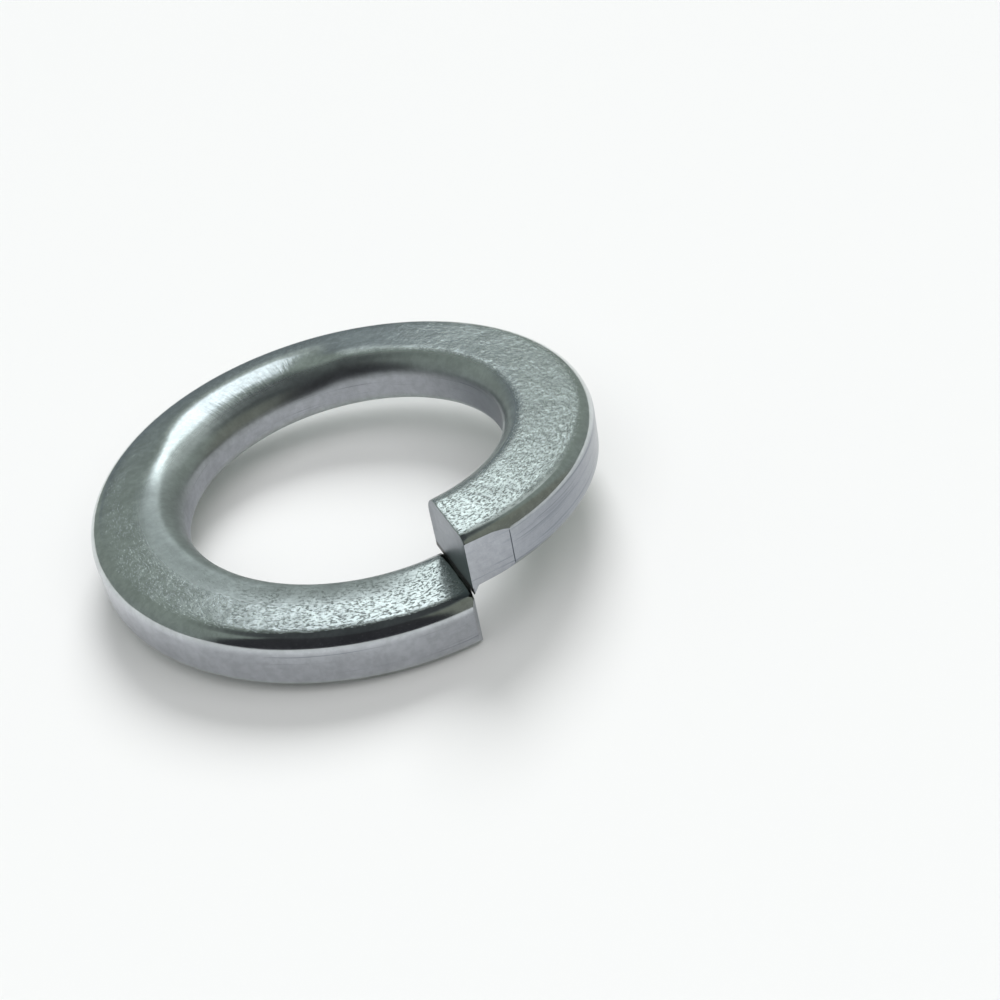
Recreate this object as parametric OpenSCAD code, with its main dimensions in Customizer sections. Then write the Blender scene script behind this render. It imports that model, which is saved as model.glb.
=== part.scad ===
// Spring lock washer: one left-hand turn of flat steel wire, cut through at a slant,
// its two ends stepped apart by a little more than the wire's own thickness.
// Units are mm. +Z runs along the axis of the bore and up. The origin is on that axis,
// in the plane of the washer's lowest point. The cut faces -Y. Seen from above, the
// wire starts low on the left of the cut and climbs clockwise to the right of it.

/* [Display] */
// Which piece to draw: all, or one piece by its name

/* [Coil] */
// Inside diameter of the coil, the bore that goes over the screw
bore_d = 36.5; // [36:0.1:38]
// Height between the underside of the lower end and the top of the upper end, unloaded
free_h = 12.8; // [12.6:0.1:15]
// Clear distance in plan between the two cut faces, halfway across the wire
end_gap = 0.15; // [0.1:0.05:3]
// Slant of both cuts away from the line to the axis, in degrees
cut_slant = 9.2; // [0:0.1:20]

/* [Wire section] */
// Width of the wire, from the bore to the outside
wire_w = 10.2; // [9:0.05:12]
// Thickness of the wire, halfway across it
wire_s = 6.15; // [5.5:0.05:6.3]
// Extra thickness that coiling squeezes into the wire at the bore
bore_swell = 0.15; // [0:0.01:0.4]
// Radius of the corner between the top and the outside
round_top_out = 1.75; // [0.5:0.05:2.4]
// Radius of the corner between the underside and the outside
round_low_out = 0.95; // [0.5:0.05:2]
// Radius of the corner between the top and the bore
round_top_in = 2.7; // [0.5:0.05:3]
// Radius of the corner between the underside and the bore
round_low_in = 1.55; // [0.5:0.05:2]
// How far the top is rolled down towards the bore, at the back left
shoulder = 0.45; // [0:0.05:0.8]

/* [Ends] */
// Width of the broken edge around each cut face
edge_break = 0.16; // [0.05:0.01:0.5]
// Length of the flat on the outside, next to the upper end
flat_len = 5.2; // [2:0.1:9]
// How deep that flat is at the cut
flat_deep = 0.47; // [0.1:0.01:0.9]
// How deep it still is at its far end, where it stops in a small step
flat_step = 0.1; // [0:0.02:0.3]
// How far the shear draws the underside of the upper end down into a lip
lip = 0.55; // [0:0.05:0.65]
// Width of the bevel down the outer edge of the lower end
bevel_w = 0.6; // [0.3:0.05:1.2]

/* [Hidden] */
// Colour of bright zinc plate
zinc = [0.70, 0.73, 0.74];
// Radii of the bore, of the outside and of the line halfway across the wire
bore_r = bore_d / 2;
out_r = bore_r + wire_w;
mid_r = bore_r + wire_w / 2;
// Azimuth of the lower cut
cut_az = -90;
// Turn of the coil from cut to cut, and climb over it
turn = 360 - asin(end_gap / mid_r);
rise = free_h - wire_s;
// The swept section stands this much proud of both walls; true cylinders trim it back
skin = 0.08;
// How far every cutting shape reaches past what it cuts
past = 4;
// Steps along the coil, steps round each corner of the section and steps across the shoulder
steps = 112;
corner_n = 5;
shoulder_n = 4;
// The rolled shoulder: its middle azimuth, and the cosines of the azimuth away from
// that at which it starts and is whole
shoulder_az = 100;
shoulder_cos = [0.3, 0.8];
// The radii between which it falls, and the power by which it does
shoulder_in_r = bore_r + round_top_in;
shoulder_out_r = bore_r + 0.66 * wire_w;
shoulder_power = 1.5;
// Share of their rounding that the lower corners keep on the lip, and the lip's length along the wire
lip_round = 0.3;
lip_len = 0.6;
// How far below the lip the cuts for the flat and the bevel meet
clear = 0.05;

// Turn from the halfway line to the cut at radius r, for a straight cut with a slant
function lag(r) = cut_slant - asin(mid_r * sin(cut_slant) / r);

function corner(cx, cz, r, from) =
    [for (i = [0:corner_n]) let (a = from + 90 * i / corner_n) [cx + r * cos(a), cz + r * sin(a)]];

// Thickness at radius r as a share of the thickness halfway across
function swell(r) = 1 + bore_swell / wire_s * (mid_r - r) / (wire_w / 2);

// The wire's section as [radius, height], counter-clockwise, starting at the low outer corner
section = [for (p = concat(
        corner(out_r + skin - round_low_out, round_low_out, round_low_out, -90),
        corner(out_r + skin - round_top_out, wire_s - round_top_out, round_top_out, 0),
        [for (i = [0:shoulder_n - 1])
            [shoulder_out_r + (shoulder_in_r - shoulder_out_r) * i / shoulder_n, wire_s]],
        corner(bore_r - skin + round_top_in, wire_s - round_top_in, round_top_in, 90),
        corner(bore_r - skin + round_low_in, round_low_in, round_low_in, 180)))
    [p[0], wire_s / 2 + (p[1] - wire_s / 2) * swell(p[0])]];

// A section drawn in all round, for the broken edge of the cuts
function drawn_in(outline) = [for (p = outline)
    [mid_r + (p[0] - mid_r) * (1 - 2 * edge_break / wire_w),
     wire_s / 2 + (p[1] - wire_s / 2) * (1 - 2 * edge_break / wire_s)]];

// The section at the upper cut, its lower corners flattened and drawn down into the lip
lipped = [for (p = section) p[1] < wire_s / 2 ? [p[0], lip_round * p[1] - lip] : p];

// Height that brings the lowest point of the lower end to zero
lift = -min([for (p = section) p[1] + rise * lag(p[0]) / turn]);

// Height just under the lip, where the flat's cut starts and the bevel's stops; the lower
// end's outer corner is rounded off below it
under_lip = lift + rise - lip - clear;

// Stations along the coil: [turn from the lower cut, section there]
edge_a = atan(edge_break / mid_r);
lip_a = atan(lip_len / mid_r);
stations = concat([[0, drawn_in(section)]],
    [for (i = [0:steps]) [edge_a + (turn - lip_a - edge_a) * i / steps, section]],
    [[turn - edge_a, lipped], [turn, drawn_in(lipped)]]);

// Share of the rolled shoulder at an azimuth: all of it near its middle, none of it opposite
function rolled(az) = let (
    past_start = (cos(az - shoulder_az) - shoulder_cos[0]) / (shoulder_cos[1] - shoulder_cos[0]),
    c = min(1, max(0, past_start))) c * c * (3 - 2 * c);

// How far a point of the section is rolled down, where the whole shoulder is
function dip(p) = shoulder
    * pow(max(0, shoulder_out_r - max(p[0], shoulder_in_r)) / (shoulder_out_r - shoulder_in_r), shoulder_power)
    * max(0, 1 - (wire_s - p[1]) / round_top_in);

function at(p, a) = let (t = a + lag(p[0]), az = cut_az - t)
    [p[0] * cos(az), p[0] * sin(az), lift + p[1] - rolled(az) * dip(p) + rise * t / turn];

// The wire swept along the coil, still proud of both walls
module wire() {
    m = len(section);
    n = len(stations);
    pts = [for (st = stations, p = st[1]) at(p, st[0])];
    sides = [for (k = [0:n - 2], j = [0:m - 1], h = [0:1])
        let (b = (j + 1) % m)
        h == 0 ? [k * m + j, (k + 1) * m + j, (k + 1) * m + b]
               : [k * m + j, (k + 1) * m + b, k * m + b]];
    caps = [[for (j = [0:m - 1]) j], [for (j = [m - 1:-1:0]) (n - 1) * m + j]];
    polyhedron(points = pts, faces = concat(sides, caps), convexity = 6);
}

// A block whose face runs in plan from point a to point b; it lies to the right of that
module shear(a, b, z0, z1) {
    d = b - a;
    translate([a[0], a[1], z0])
        rotate([0, 0, atan2(d[1], d[0])])
            translate([0, -past, 0]) cube([norm(d), past, z1 - z0]);
}

// The point reached from a by going on past b
function beyond(a, b) = b + (b - a) / norm(b - a) * past;

function plan(r, az) = [r * cos(az), r * sin(az)];

// The flat on the outside, next to the upper end
module flat() {
    az = cut_az - turn - lag(out_r);
    far = plan(out_r - flat_step, az + 2 * asin(flat_len / 2 / out_r));
    near = plan(out_r - flat_deep, az);
    shear(beyond(far, near), far, under_lip, free_h + past);
}

// The bevel down the outer edge of the lower end
module bevel() {
    az = cut_az - lag(out_r);
    back = plan(out_r, az - 2 * asin(bevel_w / 2 / out_r));
    cut = plan(out_r - bevel_w, cut_az - lag(out_r - bevel_w));
    shear(beyond(cut, back), beyond(back, cut), -past, under_lip);
}

// The washer: the swept wire trimmed to a true bore and a true outside, then its end marks
module lock_washer() {
    color(zinc)
        difference() {
            intersection() {
                wire();
                translate([0, 0, -past]) cylinder(r = out_r, h = free_h + 2 * past, $fn = 240);
            }
            translate([0, 0, -past]) cylinder(r = bore_r, h = free_h + 2 * past, $fn = 240);
            flat();
            bevel();
        }
}

lock_washer();
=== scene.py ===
import math
from collections import namedtuple

import bpy
from mathutils import Matrix, Vector


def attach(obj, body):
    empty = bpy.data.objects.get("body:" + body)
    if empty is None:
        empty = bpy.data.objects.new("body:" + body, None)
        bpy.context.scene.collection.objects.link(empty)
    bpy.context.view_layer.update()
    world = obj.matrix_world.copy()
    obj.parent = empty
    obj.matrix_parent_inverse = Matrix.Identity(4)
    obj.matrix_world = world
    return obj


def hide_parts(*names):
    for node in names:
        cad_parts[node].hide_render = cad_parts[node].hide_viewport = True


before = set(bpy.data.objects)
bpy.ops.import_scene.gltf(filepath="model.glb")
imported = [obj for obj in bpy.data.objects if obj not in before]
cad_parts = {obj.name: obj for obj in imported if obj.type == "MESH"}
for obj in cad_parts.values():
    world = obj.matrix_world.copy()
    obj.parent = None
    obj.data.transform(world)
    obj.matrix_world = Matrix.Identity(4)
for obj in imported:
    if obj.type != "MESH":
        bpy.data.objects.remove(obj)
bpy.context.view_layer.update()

# Sizes of the washer, in millimetres as its drawing gives them
BORE_D = 36.5
FREE_H = 12.8
END_GAP = 0.06
CUT_SLANT = math.radians(9.2)
WIRE_W = 10.2
WIRE_S = 6.15
BORE_SWELL = 0.15
ROUND_TOP_OUT = 1.75
ROUND_LOW_OUT = 0.95
ROUND_TOP_IN = 2.7
ROUND_LOW_IN = 1.55
FLAT_LEN = 5.2
FLAT_DEEP = 0.47
FLAT_STEP = 0.1
BEVEL_W = 0.6
EDGE_BREAK = 0.1
# The lip: how far it hangs down, the height above the wire's underside from which it is drawn,
# and how near to its corners the section's rounding is squared
END_LIP = 0.7
LIP_FROM = 1.4
LIP_CORNER = 0.45
# How far below the lip the cuts for the flat and the bevel meet
LIP_CLEAR = 0.05
# The ragged burr along the top of the lower cut: its heights from the bore to the outside
BURR = (0.2, 0.36, 0.26, 0.42, 0.3, 0.38, 0.33, 0.4, 0.36, 0.42, 0.38, 0.4, 0.38, 0.34)
BURR_FROM = 20.2
BURR_TO = 27.6

# Worked out from them
BORE_R = BORE_D / 2
OUT_R = BORE_R + WIRE_W
MID_R = BORE_R + WIRE_W / 2
CUT_AZ = -math.pi / 2
TURN = 2 * math.pi - math.asin(END_GAP / MID_R)
RISE = FREE_H - WIRE_S
PITCH = RISE * 2 * math.pi / TURN
# Height that keeps the lowest point of the lower end above zero
LIFT = 0.062
MM = 0.001

# The bore's upper edge as coiling left it at the back: a facet falling to the bore, inside
# radius FACET_FROM, and inside radius ROLL_FROM a larger rounding, ROLL_DROP high
FACET_FROM = 24.6
FACET_SLOPE = math.tan(math.radians(11.5))
FACET_EASE = 0.35
FACET_NARROWS = 2.2
ROLL_FROM = 22.0
ROLL_DROP = 3.1
# Where each of them is, as an azimuth, and the turns away from it up to which it is whole and
# beyond which it is gone; away from WIDE_AT the facet is narrower by FACET_NARROWS
FACET_AT = (106, 24, 46)
WIDE_AT = (80, 26, 54)
ROLL_AT = (112, 26, 76)

# How finely the coil is made
COIL_STEPS = 420
CORNER_SEGMENTS = 10
FACE_CUTS = 7
EDGE_SEGMENTS = 3
# Length of wire left at each end for the slanted cut, in radians of turn, and the shares of it
# that are still straight and that take the lip
END_STUB = math.radians(7)
STRAIGHT_SHARE = 0.28
LIP_SHARE = 0.21
# How near to a place or a plane a point is taken to be on it
NEAR = 0.02
# How far the cutting blocks reach out from the washer, and past its ends
BLOCK_OUT = 3
BLOCK_PAST = 2
# Faces that meet at less than this look smooth
SMOOTH_ANGLE = math.radians(28)


def lag(r):
    """Turn from the middle of the wire to the slanted cut at radius r."""
    return CUT_SLANT - math.asin(MID_R * math.sin(CUT_SLANT) / r)


def plan(r, az):
    """A point in plan, from its radius and azimuth."""
    return Vector((r * math.cos(az), r * math.sin(az), 0))


def cut_lines(cut_az):
    """A cut in plan: its middle, the way along it outwards and the way square to it."""
    middle = plan(MID_R, cut_az)
    outward = (plan(OUT_R, cut_az - lag(OUT_R)) - middle).normalized()
    return middle, outward, Vector((outward.y, -outward.x, 0))


def only(obj):
    """Make obj the one selected and active object."""
    bpy.ops.object.select_all(action="DESELECT")
    obj.select_set(True)
    bpy.context.view_layer.objects.active = obj


def pick(obj, test, mode="VERT"):
    """In edit mode, select the vertices, edges or faces that pass the test, and nothing else."""
    bpy.ops.mesh.select_all(action="DESELECT")
    bpy.ops.mesh.select_mode(type=mode)
    bpy.ops.object.mode_set(mode="OBJECT")
    mesh = obj.data
    items = {"VERT": mesh.vertices, "EDGE": mesh.edges, "FACE": mesh.polygons}[mode]
    for item in items:
        item.select = test(item, mesh)
    bpy.ops.object.mode_set(mode="EDIT")


def at_place(*place):
    """A test for vertices at one place, in millimetres."""
    return lambda v, mesh: (v.co - Vector(place) * MM).length < NEAR * MM


def wire_section():
    """The outline of the wire's section, standing in the XZ plane with its corners rounded."""
    bpy.ops.object.select_all(action="DESELECT")
    bpy.ops.mesh.primitive_plane_add(size=1, location=(MID_R * MM, 0, WIRE_S / 2 * MM),
                                     rotation=(math.pi / 2, 0, 0))
    wire = bpy.context.object
    wire.name = "washer_wire"
    wire.scale = (WIRE_W * MM, WIRE_S * MM, 1)
    bpy.ops.object.transform_apply(location=True, rotation=True, scale=True)
    bpy.ops.object.mode_set(mode="EDIT")
    swell = BORE_SWELL / 2
    for r, side in ((BORE_R, 1), (OUT_R, -1)):
        for z, way in ((0, -1), (WIRE_S, 1)):
            pick(wire, at_place(r, 0, z))
            bpy.ops.transform.translate(value=(0, 0, side * way * swell * MM))
    corners = ((BORE_R, -swell, ROUND_LOW_IN), (BORE_R, WIRE_S + swell, ROUND_TOP_IN),
               (OUT_R, swell, ROUND_LOW_OUT), (OUT_R, WIRE_S - swell, ROUND_TOP_OUT))
    for r, z, radius in corners:
        pick(wire, at_place(r, 0, z))
        bpy.ops.mesh.bevel(offset=radius * MM, segments=CORNER_SEGMENTS, profile=0.5, affect="VERTICES")

    def is_long(edge, mesh):
        first, second = (mesh.vertices[index].co for index in edge.vertices)
        return (first - second).length > MM

    pick(wire, is_long, "EDGE")
    bpy.ops.mesh.subdivide(number_cuts=FACE_CUTS)
    bpy.ops.mesh.select_all(action="SELECT")
    bpy.ops.mesh.delete(type="ONLY_FACE")
    bpy.ops.object.mode_set(mode="OBJECT")
    return wire


def coil(wire):
    """Wind the section up the left-hand helix, short of both cuts by a stub."""
    wound = TURN - 2 * END_STUB
    screw = wire.modifiers.new("coil", "SCREW")
    screw.axis = "Z"
    screw.angle = -wound
    screw.screw_offset = RISE * wound / TURN * MM
    screw.steps = COIL_STEPS
    screw.render_steps = COIL_STEPS
    screw.use_merge_vertices = False
    only(wire)
    bpy.ops.object.modifier_apply(modifier=screw.name)
    wire.rotation_euler = (0, 0, CUT_AZ - END_STUB)
    wire.location = (0, 0, (LIFT + RISE * END_STUB / TURN) * MM)
    bpy.ops.object.transform_apply(location=True, rotation=True, scale=True)


def share_at(az, place):
    """Smoothly from 1 near the middle of a place to 0 away from it."""
    middle, whole, gone = (math.radians(turn) for turn in place)
    share = (math.cos(az - middle) - math.cos(gone)) / (math.cos(whole) - math.cos(gone))
    share = min(1, max(0, share))
    return share * share * (3 - 2 * share)


def facet_drop(r, az):
    """How far the facet has fallen at a place in plan."""
    fallen = FACET_FROM - FACET_NARROWS * (1 - share_at(az, WIDE_AT)) - max(r, ROLL_FROM)
    drop = FACET_SLOPE * max(0, fallen)
    if abs(fallen) < FACET_EASE:
        drop = FACET_SLOPE * (fallen + FACET_EASE) ** 2 / (4 * FACET_EASE)
    inside = max(0, ROLL_FROM - r)
    return drop + FACET_SLOPE * inside * (1 - inside / (ROLL_FROM - BORE_R))


def rounding_drop(r, start, height):
    """How far an elliptical rounding from radius start down to the bore has fallen at radius r."""
    share = min(1, max(0, start - r) / (start - BORE_R))
    return height * (1 - math.sqrt(1 - share * share))


def roll_edge(wire):
    """Give the bore's upper edge its facet and its larger rounding at the back."""
    group = wire.vertex_groups.new(name="rolled")
    wall_top = WIRE_S + BORE_SWELL / 2 - ROUND_TOP_IN
    for v in wire.data.vertices:
        r = math.hypot(v.co.x, v.co.y) / MM
        az = math.atan2(v.co.y, v.co.x)
        raised = v.co.z / MM - LIFT - RISE * ((CUT_AZ - az) % (2 * math.pi)) / TURN
        larger = rounding_drop(r, ROLL_FROM, ROLL_DROP)
        larger -= rounding_drop(r, BORE_R + ROUND_TOP_IN, ROUND_TOP_IN)
        drop = share_at(az, FACET_AT) * facet_drop(r, az) + share_at(az, ROLL_AT) * larger
        # the wall below the rounding is squeezed, and the underside stays
        drop *= min(1, max(0, (raised - ROUND_LOW_IN) / (wall_top - ROUND_LOW_IN)))
        if drop > 0:
            group.add([v.index], min(1, drop), "REPLACE")
    roll = wire.modifiers.new("roll", "DISPLACE")
    roll.direction = "Z"
    roll.mid_level = 0
    roll.strength = -MM
    roll.vertex_group = group.name
    only(wire)
    bpy.ops.object.modifier_apply(modifier=roll.name)
    wire.vertex_groups.clear()


def close_end(wire, upper):
    """Carry the open loop of one end on to its slanted cut, fill it and round the cut's edge."""
    way = 1 if upper else -1
    cut_az = CUT_AZ - (TURN if upper else 0)
    stub_az = cut_az + way * END_STUB
    loop_z = LIFT + (RISE * (1 - END_STUB / TURN) if upper else RISE * END_STUB / TURN) + WIRE_S / 2
    middle, outward, off_cut = cut_lines(cut_az)

    def on_loop(v, mesh):
        on_plane = abs(v.co.dot(plan(1, stub_az + math.pi / 2))) < NEAR * MM
        near_side = v.co.dot(plan(1, stub_az)) > 0
        return on_plane and near_side and abs(v.co.z / MM - loop_z) < 0.6 * WIRE_S

    def on_cut(v, mesh):
        # the cut's plane also crosses the far side of the ring
        on_plane = abs((v.co / MM - middle).dot(off_cut)) < NEAR and v.co.dot(middle) > 0
        return on_plane and abs(v.co.z / MM - loop_z) < WIRE_S

    def turn_to(angle, centre):
        bpy.ops.transform.rotate(value=angle, orient_axis="Z", orient_type="GLOBAL",
                                 center_override=centre * MM)

    def carry_on(share):
        climb = way * RISE * END_STUB * share / TURN * MM
        bpy.ops.mesh.extrude_edges_move(TRANSFORM_OT_translate={"value": (0, 0, climb)})
        turn_to(way * END_STUB * share, Vector((0, 0, 0)))

    bpy.ops.object.mode_set(mode="EDIT")
    pick(wire, on_loop)
    carry_on(STRAIGHT_SHARE)
    carry_on(1 - STRAIGHT_SHARE - LIP_SHARE)
    turn_to(CUT_SLANT, plan(MID_R, cut_az + way * END_STUB * LIP_SHARE))
    carry_on(LIP_SHARE)
    if upper:
        # the shear squares the lower corners and draws the underside down into a lip
        lip_z = LIFT + RISE - END_LIP
        pick(wire, lambda v, mesh: on_cut(v, mesh) and v.co.z / MM < LIFT + RISE + LIP_FROM)
        bpy.ops.transform.resize(value=(1, 1, 0), center_override=(0, 0, lip_z * MM))
        for r in (BORE_R, OUT_R):
            corner = middle + outward * (r - MID_R) + Vector((0, 0, lip_z))
            pick(wire, lambda v, mesh: (v.co / MM - corner).length < LIP_CORNER)
            bpy.ops.transform.resize(value=(0, 0, 0), center_override=corner * MM)
        bpy.ops.mesh.select_all(action="SELECT")
        bpy.ops.mesh.remove_doubles(threshold=0.001 * MM)
        pick(wire, on_cut)
    bpy.ops.mesh.edge_face_add()
    bpy.ops.mesh.bevel(offset=EDGE_BREAK * MM, segments=EDGE_SEGMENTS, profile=0.5, affect="EDGES")
    bpy.ops.object.mode_set(mode="OBJECT")


def raise_burr(wire):
    """The thin burr that the shear leaves standing along the top of the lower cut."""
    middle, outward, off_cut = cut_lines(CUT_AZ)
    width = (BURR_TO - BURR_FROM) / len(BURR)

    def on_edge(v, start):
        place = v.co / MM
        near_cut = abs((place - middle).dot(off_cut)) < 0.7 * EDGE_BREAK and place.dot(middle) > 0
        across = (place - middle).dot(outward) + MID_R
        return near_cut and start <= across < start + width and place.z > LIFT + 0.8 * WIRE_S

    bpy.ops.object.mode_set(mode="EDIT")
    for step, height in enumerate(BURR):
        pick(wire, lambda v, mesh: on_edge(v, BURR_FROM + step * width))
        bpy.ops.transform.translate(value=(0, 0, height * MM))
    bpy.ops.object.mode_set(mode="OBJECT")


def cutting_block(name, start, end, out, low, high):
    """A block standing on a line in plan from start to end, and reaching out to its right."""
    along = (end - start).normalized()
    side = Vector((along.y, -along.x, 0))
    middle = (start + end) / 2 + side * out / 2 + Vector((0, 0, (low + high) / 2))
    bpy.ops.object.select_all(action="DESELECT")
    bpy.ops.mesh.primitive_cube_add(size=1, location=middle * MM)
    block = bpy.context.object
    block.name = name
    block.scale = ((end - start).length * MM, out * MM, (high - low) * MM)
    block.rotation_euler = (0, 0, math.atan2(along.y, along.x))
    bpy.ops.object.transform_apply(location=True, rotation=True, scale=True)
    return block


def take_away(wire, block):
    """Cut the block out of the wire and remove the block."""
    cut = wire.modifiers.new("cut", "BOOLEAN")
    cut.operation = "DIFFERENCE"
    cut.solver = "EXACT"
    cut.object = block
    only(wire)
    bpy.ops.object.modifier_apply(modifier=cut.name)
    bpy.data.objects.remove(block, do_unlink=True)


def flat_line():
    """The flat in plan: its end at the cut and its far end."""
    az = CUT_AZ - TURN - lag(OUT_R)
    far_az = az + 2 * math.asin(FLAT_LEN / 2 / OUT_R)
    return plan(OUT_R - FLAT_DEEP, az), plan(OUT_R - FLAT_STEP, far_az)


def mark_ends(wire):
    """The flat on the outside next to the upper end, and the bevel down the lower end's outer edge."""
    # the lower end's outer corner is rounded off below this height, and the lip is above it
    under_lip = LIFT + RISE - END_LIP - LIP_CLEAR
    near, far = flat_line()
    past_cut = near + (near - far).normalized() * BLOCK_PAST
    take_away(wire, cutting_block("flat_cut", past_cut, far, BLOCK_OUT, under_lip, FREE_H + BLOCK_PAST))
    az = CUT_AZ - lag(OUT_R)
    back = plan(OUT_R, az - 2 * math.asin(BEVEL_W / 2 / OUT_R))
    front = plan(OUT_R - BEVEL_W, CUT_AZ - lag(OUT_R - BEVEL_W))
    reach = (front - back).normalized() * BLOCK_PAST
    take_away(wire, cutting_block("bevel_cut", back - reach, front + reach, BLOCK_OUT, -1, under_lip))


def sharpen_flat(wire):
    """Keep the flat's outline crisp, though it leans only a little from the wall beside it."""
    near, far = flat_line()
    away = (near - far).cross(Vector((0, 0, 1))).normalized()

    def on_flat(face, mesh):
        on_plane = abs((face.center / MM - near).dot(away)) < NEAR / 2
        return on_plane and abs(face.normal.dot(away)) > 0.999

    bpy.ops.object.mode_set(mode="EDIT")
    pick(wire, on_flat, "FACE")
    bpy.ops.mesh.region_to_loop()
    bpy.ops.mesh.mark_sharp()
    bpy.ops.object.mode_set(mode="OBJECT")


def washer():
    """The whole washer: the wound wire with both ends closed and marked."""
    wire = wire_section()
    coil(wire)
    roll_edge(wire)
    close_end(wire, False)
    raise_burr(wire)
    close_end(wire, True)
    only(wire)
    bpy.ops.object.mode_set(mode="EDIT")
    bpy.ops.mesh.select_all(action="SELECT")
    bpy.ops.mesh.normals_make_consistent(inside=False)
    # the exact cuts below need flat faces
    bpy.ops.mesh.quads_convert_to_tris()
    bpy.ops.object.mode_set(mode="OBJECT")
    mark_ends(wire)
    only(wire)
    bpy.ops.object.shade_smooth_by_angle(angle=SMOOTH_ANGLE)
    sharpen_flat(wire)
    return wire


def feed(tree, socket, value):
    """Link an output to a socket, or write a plain value on it."""
    if isinstance(value, bpy.types.NodeSocket):
        tree.links.new(value, socket)
    else:
        socket.default_value = value


def maths(tree, operation, *values):
    """The result of a maths node."""
    made = tree.nodes.new("ShaderNodeMath")
    made.operation = operation
    for socket, value in zip(made.inputs, values):
        feed(tree, socket, value)
    return made.outputs[0]


def vector_maths(tree, operation, *values):
    """The result of a vector maths node."""
    made = tree.nodes.new("ShaderNodeVectorMath")
    made.operation = operation
    for socket, value in zip(made.inputs, values):
        feed(tree, socket, value)
    return made.outputs["Value" if operation in ("DOT_PRODUCT", "LENGTH") else "Vector"]


def product(tree, first, *others):
    """All the values multiplied."""
    for other in others:
        first = maths(tree, "MULTIPLY", first, other)
    return first


def total(tree, first, *others):
    """All the values added up."""
    for other in others:
        first = maths(tree, "ADD", first, other)
    return first


def rise_between(tree, value, low, high, top=1.0, bottom=0.0):
    """Smoothly from bottom at low to top at high."""
    made = tree.nodes.new("ShaderNodeMapRange")
    made.interpolation_type = "SMOOTHSTEP"
    feed(tree, made.inputs["Value"], value)
    made.inputs["From Min"].default_value = low
    made.inputs["From Max"].default_value = high
    made.inputs["To Min"].default_value = bottom
    made.inputs["To Max"].default_value = top
    return made.outputs["Result"]


def blend(tree, share, first, second):
    """Two colours mixed by a share."""
    made = tree.nodes.new("ShaderNodeMix")
    made.data_type = "RGBA"
    feed(tree, made.inputs[0], share)
    feed(tree, made.inputs[6], first)
    feed(tree, made.inputs[7], second)
    return made.outputs[2]


def shade(red, green, blue):
    """A colour from its linear parts."""
    return (red, green, blue, 1)


def noise(tree, at, size, detail=2.0, rough=0.5, distort=0.0):
    """Noise with features of about a size in millimetres, on coordinates in millimetres."""
    made = tree.nodes.new("ShaderNodeTexNoise")
    tree.links.new(at, made.inputs["Vector"])
    made.inputs["Scale"].default_value = 1 / size
    made.inputs["Detail"].default_value = detail
    made.inputs["Roughness"].default_value = rough
    made.inputs["Distortion"].default_value = distort
    return made.outputs["Fac"]


def combine(tree, x, y, z):
    """A vector from its three parts."""
    made = tree.nodes.new("ShaderNodeCombineXYZ")
    for socket, value in zip(made.inputs, (x, y, z)):
        feed(tree, socket, value)
    return made.outputs[0]


# Bright zinc plate, and the floor
ZINC_TOP = shade(0.68, 0.735, 0.71)
# The walls' colour: the plate's bluer tone, darkened further by painted shade for the shadowed floor that
# they mirror
ZINC_WALL_AND_SHADE = shade(0.53, 0.55, 0.59)
# Colour of the scratch lines, also used for painted shade on the wall at the right
ZINC_SCRATCH_AND_SHADE = shade(0.22, 0.24, 0.27)
# Colour of the duller cut faces, also carrying a painted reflection that darkens them towards their outer
# lower corners
ZINC_DULL_AND_SHADE = shade(0.16, 0.19, 0.22)
# Near black for the gap between the ends: grime, and painted shade in the crevice
GRIME_AND_SHADE = shade(0.02, 0.022, 0.02)
FLOOR_WHITE = shade(0.86, 0.86, 0.86)
FLOOR_SIZE = 8

# The plate's texture, in millimetres: how large its features are and how high
GRAIN_SIZE = 0.22
GRAIN_STRETCH = 1.8
PIT_DEPTH = 0.035
RIPPLE_SIZE = 0.5
RIPPLE_HEIGHT = 0.04
PATCH_SIZE = 2.2
DENT_SIZE = 1.1
DENT_HEIGHT = 0.009
CLOUD_SIZE = 4.0
MOTTLE_SIZE = 0.8
# Lengths along, across and up the wire
WRINKLE = (0.5, 3.0, 3.0)
WRINKLE_HEIGHT = 0.013
DRAWN_LINE = (14.0, 0.16, 0.16)
DRAWN_HEIGHT = 0.006
SCRATCH = (18.0, 2.0, 0.22)
# Places round the washer: their azimuth, and the cosines of the turn away from it at which they
# begin and are whole. The grain is strongest at the first and smoothed at the next two, the wall
# is most scratched and darkened by painted shade at the fourth, the bore's upper rounding is satin
# at the fifth, and the last is the cut.
GRAINED = (-50, -0.8, 0.6)
FACETED = (FACET_AT[0], 0.5, 0.8)
SMOOTH_BACK = (80, 0.55, 0.9)
SCRATCHED_AND_SHADED = (-35, 0.45, 0.85)
SATIN = (200, 0.35, 0.72)
CUT_FRONT = (math.degrees(CUT_AZ), 0.9, 0.95)
# Radii between which the smooth facet, the satin and the ragged edge of the grime and painted shade in the
# gap come in
FACETED_RADII = (25.2, 24.4)
SATIN_RADII = (24.0, 20.8)
RAGGED_RADII = (23.0, 19.0)
# Heights between which the grime and painted shade in the gap come in and go, and how far they reach from
# the cut
GRIME_AND_SHADE_IN = (5.2, 5.9)
GRIME_AND_SHADE_OUT = (6.95, 6.65)
GRIME_AND_SHADE_REACH = 0.12
# How level, and how square to the wire, a point faces where it begins to belong to a face, a wall
# or a cut and where it belongs to it wholly
FACE_LEVEL = (0.93, 0.99)
WALL_LEVEL = (0.5, 0.15)
CUT_SQUARE = (0.8, 0.95)
# Roughness of the etched faces without and with grain and of the roundings, and what the other
# places add to it, the satin to the roundings and to the faces
ROUGH_FACE = 0.15
ROUGH_GRAIN = 0.22
ROUGH_ROUNDING = 0.12
MORE_ON_WALL = 0.12
MORE_INSIDE = 0.2
MORE_ON_CUT = 0.15
MORE_ON_SATIN = (0.28, 0.3)

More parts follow.
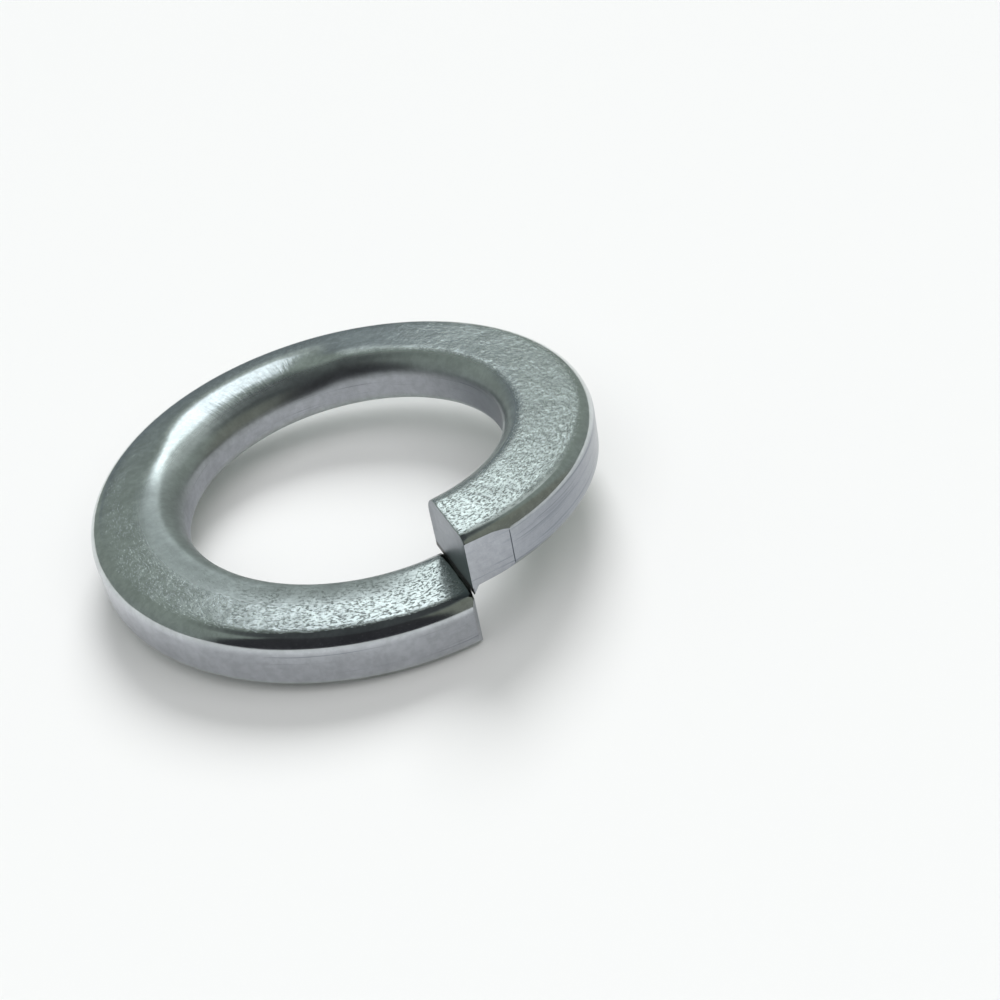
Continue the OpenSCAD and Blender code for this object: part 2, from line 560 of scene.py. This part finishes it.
# Heights past which a point belongs to the part of an end that the slanted cut carries on beyond
# the whole turn
LAP_ABOVE = 6.4
LAP_BELOW = -0.3
UP = Vector((0, 0, 1))

# Where a point is, in millimetres: as it stands, along the wire and up its section; which way it
# faces; and how far it is on an etched face, a wall or a cut
Place = namedtuple("Place", "at outward along up radius out_facing up_facing level on_face on_wall on_cut")


def place_on_wire(tree):
    """The place of the point that is shaded."""
    at = vector_maths(tree, "SCALE", tree.nodes.new("ShaderNodeTexCoord").outputs["Object"])
    at.node.inputs["Scale"].default_value = 1 / MM
    split = tree.nodes.new("ShaderNodeSeparateXYZ")
    tree.links.new(at, split.inputs[0])
    x, y, z = split.outputs
    azimuth = maths(tree, "ARCTAN2", y, x)
    turned = maths(tree, "DIVIDE", maths(tree, "SUBTRACT", CUT_AZ, azimuth), 2 * math.pi)
    share = maths(tree, "FRACT", turned)
    raised = maths(tree, "SUBTRACT", z, maths(tree, "MULTIPLY_ADD", share, PITCH, LIFT))
    lap = maths(tree, "SUBTRACT", maths(tree, "GREATER_THAN", raised, LAP_ABOVE),
                maths(tree, "LESS_THAN", raised, LAP_BELOW))
    along = maths(tree, "MULTIPLY", maths(tree, "ADD", share, lap), 2 * math.pi * MID_R)
    up = maths(tree, "SUBTRACT", raised, maths(tree, "MULTIPLY", lap, PITCH))
    in_plan = combine(tree, x, y, 0.0)
    radius = vector_maths(tree, "LENGTH", in_plan)
    outward = vector_maths(tree, "NORMALIZE", in_plan)
    facing = tree.nodes.new("ShaderNodeNewGeometry").outputs["Normal"]
    out_facing = vector_maths(tree, "DOT_PRODUCT", facing, outward)
    up_facing = vector_maths(tree, "DOT_PRODUCT", facing, UP)
    level = maths(tree, "ABSOLUTE", up_facing)
    along_wire = vector_maths(tree, "CROSS_PRODUCT", outward, UP)
    cut_facing = maths(tree, "ABSOLUTE", vector_maths(tree, "DOT_PRODUCT", facing, along_wire))
    on_face = rise_between(tree, level, *FACE_LEVEL)
    on_wall = rise_between(tree, level, *WALL_LEVEL)
    on_cut = rise_between(tree, cut_facing, *CUT_SQUARE)
    return Place(at, outward, along, up, radius, out_facing, up_facing, level, on_face, on_wall, on_cut)


def about(tree, place, where, bottom=0.0):
    """Smoothly from bottom to 1 towards one of the places round the washer."""
    azimuth, low, high = where
    cosine = vector_maths(tree, "DOT_PRODUCT", place.outward, plan(1, math.radians(azimuth)))
    return rise_between(tree, cosine, low, high, bottom=bottom)


def stretched(tree, place, lengths):
    """The place along, across and up the wire, each divided by its length."""
    ways = zip((place.along, place.radius, place.up), lengths)
    return combine(tree, *(maths(tree, "DIVIDE", way, length) for way, length in ways))


def grain_strength(tree, place):
    """Strongest at the front and right, least on the facet and at the back, worn at the lower end."""
    worn = about(tree, place, GRAINED, bottom=0.2)
    on_facet = product(tree, about(tree, place, FACETED), rise_between(tree, place.radius, *FACETED_RADII))
    at_back = about(tree, place, SMOOTH_BACK)
    smoothed = maths(tree, "MULTIPLY_ADD", maths(tree, "MAXIMUM", on_facet, at_back), -0.9, 1.0)
    off_end = rise_between(tree, place.along, 0.0, 1.2, bottom=0.6)
    patches = rise_between(tree, noise(tree, place.at, PATCH_SIZE, 2.0, 0.6), 0.35, 0.65, bottom=0.45)
    return product(tree, place.on_face, smoothed, patches, worn, off_end)


def textured(tree, place, grain):
    """The normal, with pits and ripples in the faces, wrinkles inside and lines along the rest."""
    on_wire = stretched(tree, place, (GRAIN_STRETCH, 1, 1))
    pits = rise_between(tree, noise(tree, on_wire, GRAIN_SIZE, 3.0, 0.6, 0.4), 0.52, 0.7,
                        top=-PIT_DEPTH, bottom=0.0)
    ripple = product(tree, noise(tree, on_wire, RIPPLE_SIZE, 2.0, 0.5), RIPPLE_HEIGHT)
    dents = product(tree, place.on_face, noise(tree, place.at, DENT_SIZE, 2.0, 0.5), DENT_HEIGHT)

    # radial wrinkles on the rounding of the bore's upper edge
    inner_round = product(tree, rise_between(tree, place.out_facing, -0.1, -0.22),
                          rise_between(tree, place.up_facing, 0.2, 0.5))
    wrinkles = noise(tree, stretched(tree, place, WRINKLE), 1.0, 2.0, 0.6)
    wrinkles = product(tree, inner_round, wrinkles, WRINKLE_HEIGHT)

    # lines left by drawing the wire, along it
    off_face = maths(tree, "SUBTRACT", 1.0, place.on_face)
    lines = noise(tree, stretched(tree, place, DRAWN_LINE), 1.0, 2.0, 0.6)
    lines = product(tree, off_face, lines, DRAWN_HEIGHT)

    bump = tree.nodes.new("ShaderNodeBump")
    bump.inputs["Strength"].default_value = 1.0
    bump.inputs["Distance"].default_value = MM
    grained = product(tree, grain, total(tree, pits, ripple))
    tree.links.new(total(tree, grained, dents, wrinkles, lines), bump.inputs["Height"])
    return bump.outputs["Normal"]


def clouded_and_shaded(tree, place):
    """Greener on the faces, and bluer and darker on the walls, partly the plate's own tone and partly
    painted shade, with clouds in both.
    """
    clouds = rise_between(tree, noise(tree, place.at, CLOUD_SIZE, 3.0, 0.6), 0.3, 0.7, bottom=0.87)
    mottle = rise_between(tree, noise(tree, place.at, MOTTLE_SIZE, 3.0, 0.65), 0.35, 0.65, bottom=0.88)
    cloud = product(tree, clouds, mottle)
    darken = tree.nodes.new("ShaderNodeMix")
    darken.data_type = "RGBA"
    darken.blend_type = "MULTIPLY"
    darken.inputs[0].default_value = 1.0
    # the walls take the darker colour, which is partly painted shade
    tree.links.new(blend(tree, place.level, ZINC_WALL_AND_SHADE, ZINC_TOP), darken.inputs[6])
    tree.links.new(combine(tree, cloud, cloud, cloud), darken.inputs[7])
    return darken.outputs[2]


def scratches_and_shade(tree, place):
    """Fine dark scratch lines along the walls, more of them at the right, and painted shade that darkens
    the whole wall at the right.
    """
    right = about(tree, place, SCRATCHED_AND_SHADED)
    streak = noise(tree, stretched(tree, place, SCRATCH), 1.0, 3.0, 0.7)
    streak = maths(tree, "MULTIPLY_ADD", right, 0.06, streak)
    fine = product(tree, place.on_wall, rise_between(tree, streak, 0.6, 0.72, top=0.7))
    # the second part is painted shade: the whole wall at the right darkened
    return total(tree, fine, product(tree, right, place.on_wall, 0.7))


def dull_and_shaded_cuts(tree, place):
    """The cut faces are duller metal, the upper one darker still towards its outer lower corner, a painted
    reflection of the dark lower end that it faces.
    """
    out = maths(tree, "DIVIDE", maths(tree, "SUBTRACT", place.radius, MID_R), WIRE_W)
    up = maths(tree, "DIVIDE", maths(tree, "SUBTRACT", place.up, WIRE_S / 2), WIRE_S)
    uneven = product(tree, noise(tree, place.at, 0.7, 3.0, 0.6), 0.3)
    corner = total(tree, maths(tree, "SUBTRACT", out, up), uneven)
    # darker towards the outer lower corner: painted reflection
    return product(tree, place.on_cut, rise_between(tree, corner, -0.3, 0.75, top=0.8, bottom=0.25))


def gap_grime_and_shade(tree, place):
    """Grime and painted shade in the gap between the ends, ragged towards the bore."""
    middle, outward, off_cut = cut_lines(CUT_AZ)
    off_gap = vector_maths(tree, "DOT_PRODUCT", place.at, off_cut)
    off_gap = maths(tree, "ABSOLUTE", maths(tree, "SUBTRACT", off_gap, middle.dot(off_cut)))
    ragged = product(tree, noise(tree, place.at, 0.5, 3.0, 0.6),
                     rise_between(tree, place.radius, *RAGGED_RADII, top=0.9, bottom=0.25))
    off_gap = maths(tree, "SUBTRACT", off_gap, ragged)
    height = vector_maths(tree, "DOT_PRODUCT", place.at, UP)
    at_step = product(tree, rise_between(tree, height, *GRIME_AND_SHADE_IN), rise_between(tree, height, *GRIME_AND_SHADE_OUT))
    near_cut = rise_between(tree, off_gap, GRIME_AND_SHADE_REACH, 0.0)
    # grime and painted shade in the crevice between the ends
    return product(tree, near_cut, at_step, about(tree, place, CUT_FRONT))


def zinc_colour(tree, place):
    """Zinc with clouds, its walls partly darkened by painted shade, scratch lines and painted shade at the
    right, dull cuts with a painted reflection, and grime with painted shade in the gap.
    """
    colour = clouded_and_shaded(tree, place)
    colour = blend(tree, scratches_and_shade(tree, place), colour, ZINC_SCRATCH_AND_SHADE)
    colour = blend(tree, dull_and_shaded_cuts(tree, place), colour, ZINC_DULL_AND_SHADE)
    return blend(tree, gap_grime_and_shade(tree, place), colour, GRIME_AND_SHADE)


def zinc_roughness(tree, place, grain):
    """Smoother on the faces and roundings, duller on the walls, inside, on the cuts and at the left."""
    inside = rise_between(tree, place.out_facing, -0.15, -0.45)
    satin = product(tree, about(tree, place, SATIN), rise_between(tree, place.radius, *SATIN_RADII))
    satin_rest, satin_face = MORE_ON_SATIN
    face = rise_between(tree, grain, 0.0, 0.7, bottom=ROUGH_FACE, top=ROUGH_GRAIN)
    face = maths(tree, "MULTIPLY_ADD", satin, satin_face, face)
    rest = total(tree, ROUGH_ROUNDING, product(tree, place.on_wall, MORE_ON_WALL),
                 product(tree, inside, MORE_INSIDE), product(tree, place.on_cut, MORE_ON_CUT),
                 product(tree, satin, satin_rest))
    made = tree.nodes.new("ShaderNodeMix")
    tree.links.new(place.on_face, made.inputs[0])
    tree.links.new(rest, made.inputs[2])
    tree.links.new(face, made.inputs[3])
    return made.outputs[0]


def bright_zinc():
    """Bright zinc plate: an etched top and underside, smooth drawn roundings and walls."""
    mat = bpy.data.materials.new("bright_zinc")
    mat.use_nodes = True
    tree = mat.node_tree
    place = place_on_wire(tree)
    grain = grain_strength(tree, place)
    shader = tree.nodes["Principled BSDF"]
    tree.links.new(zinc_colour(tree, place), shader.inputs["Base Color"])
    tree.links.new(zinc_roughness(tree, place, grain), shader.inputs["Roughness"])
    tree.links.new(textured(tree, place, grain), shader.inputs["Normal"])
    shader.inputs["Metallic"].default_value = 1
    return mat


def pale_floor():
    """Matt white card."""
    mat = bpy.data.materials.new("pale_floor")
    mat.use_nodes = True
    shader = mat.node_tree.nodes["Principled BSDF"]
    shader.inputs["Base Color"].default_value = FLOOR_WHITE
    shader.inputs["Roughness"].default_value = 0.9
    shader.inputs["Specular IOR Level"].default_value = 0.1
    return mat


def studio_floor():
    """The pale floor that the washer lies on."""
    bpy.ops.object.select_all(action="DESELECT")
    bpy.ops.mesh.primitive_plane_add(size=FLOOR_SIZE, location=(0, 0, 0))
    floor = bpy.context.object
    floor.name = "floor"
    floor.data.materials.append(pale_floor())


# The camera, placed as the photograph's is to the washer, with its lens and sensor
CAMERA_AT = Vector((-48.25, -129.22, 94.57))
CAMERA_TO = Vector((9.71, -17.0, 6.4))
CAMERA_ROLL = math.radians(-11.0)
CAMERA_LENS = 52.65
CAMERA_SENSOR = 36
CAMERA_CLIP = (0.005, 20)


def camera():
    """The camera that takes the photograph's view."""
    data = bpy.data.cameras.new("camera")
    data.lens = CAMERA_LENS
    data.sensor_width = CAMERA_SENSOR
    data.sensor_fit = "HORIZONTAL"
    data.clip_start, data.clip_end = CAMERA_CLIP
    obj = bpy.data.objects.new("camera", data)
    bpy.context.scene.collection.objects.link(obj)
    turn = (CAMERA_TO - CAMERA_AT).to_track_quat("-Z", "Y").to_matrix()
    turn = turn @ Matrix.Rotation(CAMERA_ROLL, 3, "Z")
    obj.matrix_world = Matrix.Translation(CAMERA_AT * MM) @ turn.to_4x4()
    bpy.context.scene.camera = obj


# The studio round the washer: azimuths and elevations in degrees
CAMERA_AZ = -110.5
WALLS = shade(0.27, 0.305, 0.285)
OVERHEAD = shade(0.065, 0.07, 0.075)
OVERHEAD_FROM = 52
OVERHEAD_WHOLE = 70
DARK_SIDE = shade(0.04, 0.04, 0.045)
DIM_SIDE = shade(0.22, 0.23, 0.2)
WINDOW = shade(1.7, 1.8, 1.95)
PALE_WALL = shade(1.75, 1.9, 1.95)
MID_WALL = shade(0.46, 0.5, 0.5)
LOW_WALL = shade(0.19, 0.215, 0.235)
HIGH_WALL = shade(0.62, 0.66, 0.66)
BACKDROP = shade(0.92, 0.92, 0.92)
# Each patch of it: its colour, its azimuth, the turns away up to which it is whole and beyond
# which it is gone, its lowest and highest elevation and how soft those are
PATCHES = (
    (DIM_SIDE, -48, 28, 44, -8, 60, 5),
    (DARK_SIDE, -130, 44, 54, -8, 66, 5),
    (HIGH_WALL, 40, 16, 26, 42, 60, 5),
    (LOW_WALL, 78, 10, 20, 5, 32, 4),
    (MID_WALL, 64, 5, 14, 30, 50, 4),
    (PALE_WALL, 63, 2, 9, 29, 50, 3),
    (WINDOW, 67, 6, 9, 42, 52, 2),
)
# The lamps: power, azimuth, elevation and how wide they look from the washer
KEY = (2.2, CAMERA_AZ + 165, 40, 30)
FILL = (1.6, CAMERA_AZ, 65, 90)


def towards(tree, around, azimuth, inside, outside):
    """1 within inside degrees of an azimuth, falling to 0 at outside degrees."""
    cosine = vector_maths(tree, "DOT_PRODUCT", around, plan(1, math.radians(azimuth)))
    return rise_between(tree, cosine, math.cos(math.radians(outside)), math.cos(math.radians(inside)))


def sine(degrees):
    """The height of a direction at an elevation."""
    return math.sin(math.radians(degrees))


def between(tree, height, low, high, soft):
    """1 between two elevations in degrees, with soft edges."""
    lower = rise_between(tree, height, sine(low - soft), sine(low + soft))
    upper = rise_between(tree, height, sine(high - soft), sine(high + soft), top=0.0, bottom=1.0)
    return product(tree, lower, upper)


def studio_world():
    """Grey walls, dark overhead and on the camera's side, and pale ones and a window across from it."""
    world = bpy.data.worlds.new("studio")
    bpy.context.scene.world = world
    world.use_nodes = True
    tree = world.node_tree
    direction = tree.nodes.new("ShaderNodeTexCoord").outputs["Generated"]
    split = tree.nodes.new("ShaderNodeSeparateXYZ")
    tree.links.new(direction, split.inputs[0])
    height = split.outputs["Z"]
    flat = vector_maths(tree, "MULTIPLY", direction, Vector((1, 1, 0)))
    around = vector_maths(tree, "NORMALIZE", flat)
    overhead = rise_between(tree, height, sine(OVERHEAD_FROM), sine(OVERHEAD_WHOLE))
    colour = blend(tree, overhead, WALLS, OVERHEAD)
    for patch, azimuth, inside, outside, low, high, soft in PATCHES:
        share = product(tree, towards(tree, around, azimuth, inside, outside),
                        between(tree, height, low, high, soft))
        colour = blend(tree, share, colour, patch)
    seen = tree.nodes.new("ShaderNodeLightPath").outputs["Is Camera Ray"]
    tree.links.new(blend(tree, seen, colour, BACKDROP), tree.nodes["Background"].inputs["Color"])


def soft_light(name, power, azimuth, elevation, spread):
    """A soft lamp far away, with its angles in degrees."""
    lamp = bpy.data.lights.new(name, "SUN")
    lamp.energy = power
    lamp.angle = math.radians(spread)
    obj = bpy.data.objects.new(name, lamp)
    bpy.context.scene.collection.objects.link(obj)
    # the metal mirrors the walls of the studio, not the lamp
    obj.visible_glossy = False
    to_lamp = plan(math.cos(math.radians(elevation)), math.radians(azimuth)) + UP * sine(elevation)
    obj.rotation_euler = to_lamp.to_track_quat("Z", "Y").to_euler()


camera()
studio_world()
soft_light("key", *KEY)
soft_light("fill", *FILL)
studio_floor()
lock_washer = washer()
lock_washer.name = "lock_washer_zinc"
lock_washer.data.materials.clear()
lock_washer.data.materials.append(bright_zinc())
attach(lock_washer, "root")
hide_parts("lock_washer")
bpy.context.scene.view_settings.view_transform = "Standard"
